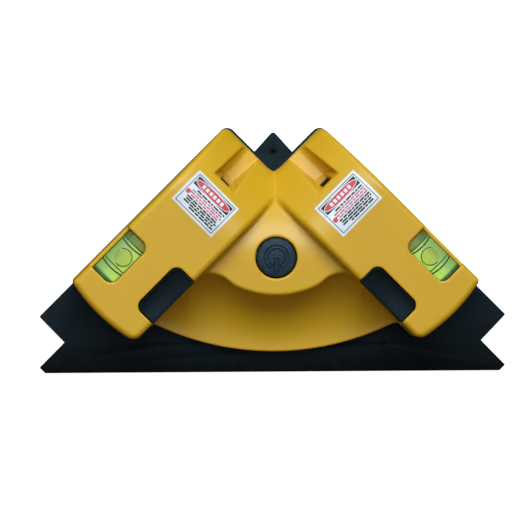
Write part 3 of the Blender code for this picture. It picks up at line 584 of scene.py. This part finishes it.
ticks = []
for degrees in range(-40, 45, 5):
    a = radians(degrees)
    long_tick = 5.6 if degrees % 10 == 0 else 3.8
    far = (50.3 + 51.9) / cos(a)
    near = far - long_tick / cos(a)

    def on_ray(u, v, a=a):
        x, y = u * sin(a) + v * cos(a), 50.3 - u * cos(a) + v * sin(a)
        return x, y, plate_height(y) + 0.03

    ticks.append(grid_sheet("tick", (near, far), (-0.13, 0.13), (2, 1), on_ray, 0.05))
dial = [("90\u00b0", -91.5, -46.9, 57), ("85", -80.0, -45.0, 50), ("80", -65.5, -44.6, 44),
        ("0\u00b0", 91.5, -46.9, -57), ("5", 80.0, -45.0, -50), ("10", 65.5, -44.6, -44)]
for figure, x, y, turn in dial:
    body = bpy.data.curves.new("dial", "FONT")
    body.body = figure
    body.size = 4.0 * MM
    body.align_x = "CENTER"
    body.align_y = "CENTER"
    body.extrude = 0.02 * MM
    text = bpy.data.objects.new("dial", body)
    bpy.context.scene.collection.objects.link(text)
    text.matrix_world = (Matrix.Translation((x * MM, y * MM, (plate_height(y) + 0.02) * MM))
                         @ Matrix.Rotation(math_tilt(y), 4, "X") @ Matrix.Rotation(radians(turn), 4, "Z"))
    bpy.context.view_layer.update()
    graph = bpy.context.evaluated_depsgraph_get()
    mesh = bpy.data.meshes.new_from_object(text.evaluated_get(graph), depsgraph=graph)
    mesh.transform(text.matrix_world)
    bpy.data.objects.remove(text, do_unlink=True)
    item = bpy.data.objects.new("dial", mesh)
    bpy.context.scene.collection.objects.link(item)
    ticks.append(item)
scale = merge("plate_scale", ticks)
finish(scale, "base", None, TICK, 30)

# ------------------------------------------------------------------ latch pads


def pad(t, n, z):
    plan = cap_round(rect(t + 46.0, n - 16.0, 12.0, 8.75, 3.4), 14.75 - n, 0.5)
    u, v = (t + 46.0) / 13.2, (n - 20.0) / 5.6
    bowl = np.maximum(0.0, 1.0 - u * u - v * v)
    lip = np.clip((-plan - 0.55) / 0.5, 0.0, 1.0)
    top = 35.75 - 0.28 * lip - 1.35 * bowl
    body = cap_round(plan, (z - top) * 0.9, 0.45)
    body = np.maximum(body, 29.4 - z)
    leg = np.maximum(rect(t + 46.5, n - 23.4, 3.5, 1.0, 0.2), np.maximum(8.4 - z, z - 31.0))
    return np.minimum(body, leg)


verts, quads = surface(pad, (-60.0, 14.0, 8.0), (-33.0, 27.0, 37.0), 0.3)
left_pad = mesh_object("left_pad", verts, quads, ARM_FRAME)
right_pad = twin(left_pad, "right_pad")
finish(left_pad, "left_latch", ["left_latch"], PAD)
finish(right_pad, "right_latch", ["right_latch"], PAD)

# ------------------------------------------------------------------ power button
BUTTON_Y = -3.5


def power_sign(x, y):
    """Distances to the two shapes of the power sign, a ring open below and a bar."""
    r = np.hypot(x, y)
    ring = np.abs(r - 4.38) - 0.72
    angle = np.degrees(np.arctan2(np.abs(x), -y))
    ring = np.maximum(ring, (26.0 - angle) * np.pi / 180.0 * r)
    bar = rect(x, y + 3.6, 0.88, 3.3, 0.6)
    return ring, bar


def button(x, y, z):
    dy = y - BUTTON_Y
    r = np.hypot(x, dy)
    dome = 28.95 - 0.0125 * r * r
    body = cap_round(r - 8.2, z - dome, 1.0)
    body = np.maximum(body, 24.2 - z)
    ring, bar = power_sign(x, dy)
    groove = np.minimum(np.abs(ring), np.abs(bar)) - 0.21
    groove = np.maximum(groove, (dome - 0.6) - z)
    body = np.maximum(body, -groove)
    stem = np.maximum(r - 2.4, np.maximum(17.8 - z, z - 25.0))
    return np.minimum(body, stem)


verts, quads = surface(button, (-9.2, -12.7, 17.0), (9.2, 5.7, 29.8), 0.16)
cap = mesh_object("button_cap", verts, quads)
finish(cap, "power_button", ["power_button"], SLATE)

# ------------------------------------------------------------------ vials
VN, VZ, VR = 43.5, 26.9, 7.4  # vial axis across the arm and in height, and its radius, in mm
VIAL_MID_T = -48.1


def vial_z(n, r):
    return VZ + sqrt(max(r * r - (n - VN) ** 2, 0.05))


def barrel_vial(grow, low_z):
    def shape(t, n, z):
        plan = rect(t - VIAL_MID_T, n - VN - 6.0, 10.85 + grow, 11.2 + grow, 2.8)
        plan = np.maximum(plan, n - VN - 5.2 - grow)
        lid = np.hypot(n - VN, np.maximum(z - VZ, 0.0)) - (VR + grow)
        return cap_round(np.maximum(plan, low_z - z), lid, 0.35)
    return shape


def across_vial(side, t0, sag, half, lift):
    """Points of a line drawn across the vial, bowed towards the far end."""
    path = []
    for k in range(25):
        w = -half + 2 * half * k / 24
        path.append(arm_xyz(side, t0 - sag * (1.0 - (w / half) ** 2), VN + w, vial_z(VN + w, VR) + lift))
    return path


for side, word in SIDES:
    for grow, low_z, label in ((0.12, 24.8, "clear"), (0.0, 25.4, "liquid")):
        step = 0.3
        verts, quads = surface(barrel_vial(grow, low_z), (-60.0, 37.5, 24.0), (-36.0, 49.5, 35.0), step)
        part = mesh_object(word + "_vial_" + label, verts, quads, ARM_FRAME)
        if side < 0:
            old = part
            part = twin(old, word + "_vial_" + label + "_skin")
            bpy.data.objects.remove(old, do_unlink=True)
        if label == "clear":
            finish(part, "laser_head", [word + "_vial_body"], CLEAR)
        else:
            finish(part, "laser_head", [word + "_vial_liquid", word + "_vial_plug"], LIQUID_GLOW)
    rings = [tube("ring", across_vial(side, t0, 0.6, 5.1, 0.16), 0.26) for t0 in (-41.5, -53.2)]
    finish(merge(word + "_vial_rings", rings), "laser_head", None, PRINT_BLACK)
    # a dark tube painted in as the shade inside the slit at the head of the beam recess
    slit_shade = tube(word + "_beam_slit_shade", [arm_xyz(side, 5.2, 32.9 + 1.4 * k, 15.2) for k in range(4)], 0.5)
    finish(slit_shade, "laser_head", None, DARK)
    # painted shadows: dark green lines drawn beside the printed rings
    ring_shadows = [tube("line", across_vial(side, t0, 0.05, 5.0, 0.10), 0.24) for t0 in (-40.5, -52.0)]
    finish(merge(word + "_vial_ring_shadows", ring_shadows), "laser_head", None, RING_SHADOW_GREEN)
    bt, bn = -47.3, 42.9

    def on_bubble(u, v, side=side):
        t, n = bt + 3.7 * u * cos(v), bn + 3.7 * u * sin(v)
        return arm_xyz(side, t, n, vial_z(n, VR) + 0.14 + 0.12 * (1.0 - u * u))

    disc = []
    faces = []
    for i in range(13):
        for k in range(48):
            disc.append(on_bubble(i / 12, 2 * pi * k / 48))
    for i in range(12):
        for k in range(48):
            a, b = i * 48 + k, i * 48 + (k + 1) % 48
            faces.append((a, a + 48, b + 48, b))
    bubble = mesh_object(word + "_bubble", disc, faces)
    work = bmesh.new()
    work.from_mesh(bubble.data)
    bmesh.ops.remove_doubles(work, verts=work.verts, dist=1e-7)
    bmesh.ops.recalc_face_normals(work, faces=work.faces)
    work.to_mesh(bubble.data)
    work.free()
    if sum(p.normal.z for p in bubble.data.polygons) < 0:
        bubble.data.flip_normals()
    finish(bubble, "laser_head", None, BUBBLE_GLOW)
    # painted shade: a dark arc along one side of the bubble's rim; painted highlight: a pale arc on the side
    # across from it
    shaded_arc = [on_bubble(1.0, radians(-190.0 + 240.0 * k / 40)) for k in range(41)]
    glint_arc = [on_bubble(1.0, radians(60.0 + 90.0 * k / 20)) for k in range(21)]
    finish(tube(word + "_bubble_shade_edge", shaded_arc, 0.20), "laser_head", None, BUBBLE_SHADE_EDGE)
    finish(tube(word + "_bubble_glint", glint_arc, 0.10), "laser_head", None, GLINT)

# ------------------------------------------------------------------ labels
rng = np.random.default_rng(7)
for side, word in SIDES:
    def place(u, v, lift, side=side):
        n = 45.9 - u if side > 0 else 22.9 + u
        t = -15.9 + v
        return arm_xyz(side, t, n, float(arm_top(t)) + lift)

    def patch(u0, u1, v0, v1, lift, steps=(2, 2)):
        return grid_sheet("patch", (u0, u1), (v0, v1), steps, lambda u, v: place(u, v, lift), 0.03)

    sheet = grid_sheet(word + "_label_sheet", (0.0, 23.0), (0.0, 16.7), (24, 24),
                       lambda u, v: place(u, v, 0.10), 0.08)
    finish(sheet, "laser_head", [word + "_label"], FILM, 30)
    dark = [patch(1.1, 21.9, 1.0, 1.3, 0.13), patch(1.1, 21.9, 15.4, 15.7, 0.13, (2, 3)),
            patch(1.1, 1.4, 1.0, 15.7, 0.13, (1, 16)), patch(21.6, 21.9, 1.0, 15.7, 0.13, (1, 16)),
            patch(1.9, 21.1, 10.9, 14.9, 0.13, (2, 6))]
    pink = []
    rows = [(9.55, "dark", 5.4), (8.5, "pink", 3.6), (7.45, "pink", 3.4), (6.4, "pink", 4.6),
            (5.3, "dark", 3.6), (4.25, "dark", 4.0), (3.2, "dark", 3.6), (2.15, "dark", 7.5)]
    for v, kind, start in rows:
        u = start
        while u < 20.2:
            length = float(rng.uniform(1.0, 3.2))
            end = min(u + length, 20.9)
            (dark if kind == "dark" else pink).append(patch(u, end, v, v + 0.72, 0.13, (1, 1)))
            u = end + float(rng.uniform(0.25, 0.45))
    finish(merge(word + "_label_print", dark), "laser_head", None, PRINT_BLACK, 30)
    finish(merge(word + "_label_fine", pink), "laser_head", None, PRINT_PINK, 30)

    def oval(name, half_u, half_v, cu, cv, lift):
        pts, faces = [], []
        for i in range(7):
            for k in range(40):
                a = 2 * pi * k / 40
                pts.append(place(cu + half_u * cos(a) * i / 6, cv + half_v * sin(a) * i / 6, lift))
        for i in range(6):
            for k in range(40):
                a, b = i * 40 + k, i * 40 + (k + 1) % 40
                faces.append((a, a + 40, b + 40, b))
        obj = mesh_object(name, pts, faces)
        work = bmesh.new()
        work.from_mesh(obj.data)
        bmesh.ops.remove_doubles(work, verts=work.verts, dist=1e-7)
        bmesh.ops.recalc_face_normals(work, faces=work.faces)
        work.to_mesh(obj.data)
        work.free()
        if sum(p.normal.z for p in obj.data.polygons) < 0:
            obj.data.flip_normals()
        return obj

    finish(oval(word + "_label_ring", 9.5, 2.05, 11.5, 12.9, 0.15), "laser_head", None, FILM)
    bars = [patch(5.6 + 2.05 * k, 7.0 + 2.05 * k, 12.1, 13.7, 0.19, (1, 1)) for k in range(6)]
    finish(merge(word + "_label_bars", bars), "laser_head", None, FILM, 30)
    red = [oval("oval", 9.1, 1.72, 11.5, 12.9, 0.17), oval("dot", 1.05, 1.05, 2.7, 7.2, 0.13)]
    finish(merge(word + "_label_red", red), "laser_head", None, PRINT_RED)

# ------------------------------------------------------------------ pieces carried over from the CAD model
LOOKS = (("door", BLACK), ("clamp_screw", STEEL), ("screw", STEEL), ("battery_contact", STEEL),
         ("spring", STEEL), ("lead", SLEEVE), ("barrel", BRASS), ("diode", STEEL), ("lens", CLEAR),
         ("clamp", DARK), ("_battery", WRAP), ("board", BOARD), ("switch_plunger", DARK),
         ("switch", STEEL), ("chip", DARK), ("header", FILM), ("capacitor", STEEL), ("plug", DARK))
for name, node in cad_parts.items():
    mat = next((look for word, look in LOOKS if word in name), DARK)
    if node.type == "MESH":
        node.data.materials.clear()
        node.data.materials.append(mat)

# ------------------------------------------------------------------ studio
FLOOR_GLOW, KEY, TOP, FRONT, WORLD = 0.9, 16.0, 4.0, 5.0, 0.10
CAM_ROLL, CAM_ZOOM, CAM_SHIFT = -0.2, 1.022, (-0.0292, -0.0206)
bpy.ops.mesh.primitive_plane_add(size=6.0, location=(0.0, 0.0, -0.0003))
floor = bpy.context.object
floor.name = "floor"
PALE, tree, shader, coords = new_material("pale_floor", (0.9, 0.9, 0.9), 0.8)
shader.inputs["Emission Color"].default_value = (1.0, 1.0, 1.0, 1.0)
shader.inputs["Emission Strength"].default_value = FLOOR_GLOW
floor.data.materials.append(PALE)
floor.visible_diffuse = False
floor.visible_glossy = False


def area_light(name, energy, size, place, aim=(0.0, 0.0, 0.0), color=(1.0, 1.0, 1.0)):
    data = bpy.data.lights.new(name, "AREA")
    data.shape = "RECTANGLE"
    data.size, data.size_y = size
    data.energy = energy
    data.color = color
    obj = bpy.data.objects.new(name, data)
    obj.location = place
    obj.rotation_euler = (Vector(aim) - Vector(place)).to_track_quat("-Z", "Y").to_euler()
    bpy.context.scene.collection.objects.link(obj)
    return obj


area_light("key", KEY, (1.3, 0.65), (0.0, 0.80, 1.02), color=(0.88, 0.95, 1.0))
area_light("top", TOP, (1.2, 1.2), (-0.1, 0.1, 1.5))
area_light("front", FRONT, (2.4, 0.7), (0.0, 1.5, 0.45))
world = bpy.data.worlds.new("studio")
bpy.context.scene.world = world
world.use_nodes = True
world.node_tree.nodes["Background"].inputs["Color"].default_value = (1.0, 0.66, 0.42, 1.0)
world.node_tree.nodes["Background"].inputs["Strength"].default_value = WORLD
bpy.context.scene.view_settings.view_transform = "Standard"
bpy.context.scene.view_settings.look = "None"

lens = bpy.data.cameras.new("camera")
camera = bpy.data.objects.new("camera", lens)
bpy.context.scene.collection.objects.link(camera)
bpy.context.scene.camera = camera
TILT, DISTANCE, VIEW_WIDTH = radians(3.0), 0.85, 224.64 * MM
AIM = Vector((0.0, 0.0, 0.018))
camera.location = AIM + Vector((-sin(TILT) * DISTANCE, 0.0, cos(TILT) * DISTANCE))
back_axis = (camera.location - AIM).normalized()
right_axis = Vector((0.0, 1.0, 0.0)).cross(back_axis).normalized()
camera.rotation_euler = Matrix((right_axis, back_axis.cross(right_axis), back_axis)).transposed().to_euler()
camera.rotation_euler.rotate_axis("Z", radians(CAM_ROLL))
lens.sensor_width = 36.0
lens.lens = lens.sensor_width * DISTANCE / VIEW_WIDTH * CAM_ZOOM
lens.shift_x, lens.shift_y = CAM_SHIFT
lens.clip_start = 0.01
